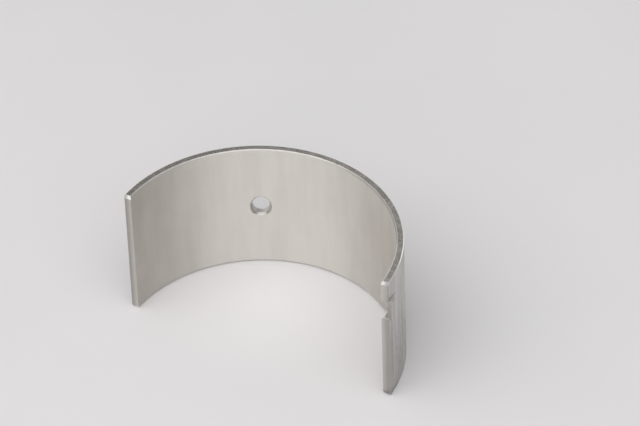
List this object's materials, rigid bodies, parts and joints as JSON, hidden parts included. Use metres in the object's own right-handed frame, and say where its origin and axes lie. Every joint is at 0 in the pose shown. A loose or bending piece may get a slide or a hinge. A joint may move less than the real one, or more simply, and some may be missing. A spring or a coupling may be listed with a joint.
{
  "type": "engine bearing shell",
  "caption": "Half shell of a plain big-end bearing, with a pressed locating tang, a countersunk oil hole and chamfered edges.",
  "frame": {"origin": "on the bore's axis, half way along the shell", "axes": "+Z along the bore, up as the shell stands on its end face, towards the end nearer the tang; +Y towards the crown; +X towards the joint face that has the tang"},
  "size_m": [0.0942, 0.0456, 0.046],
  "materials": {
    "bearing_metal": "satin"
  },
  "bodies": {
    "root": {"bearing_shell": "bearing_metal"}
  },
  "joints": []
}
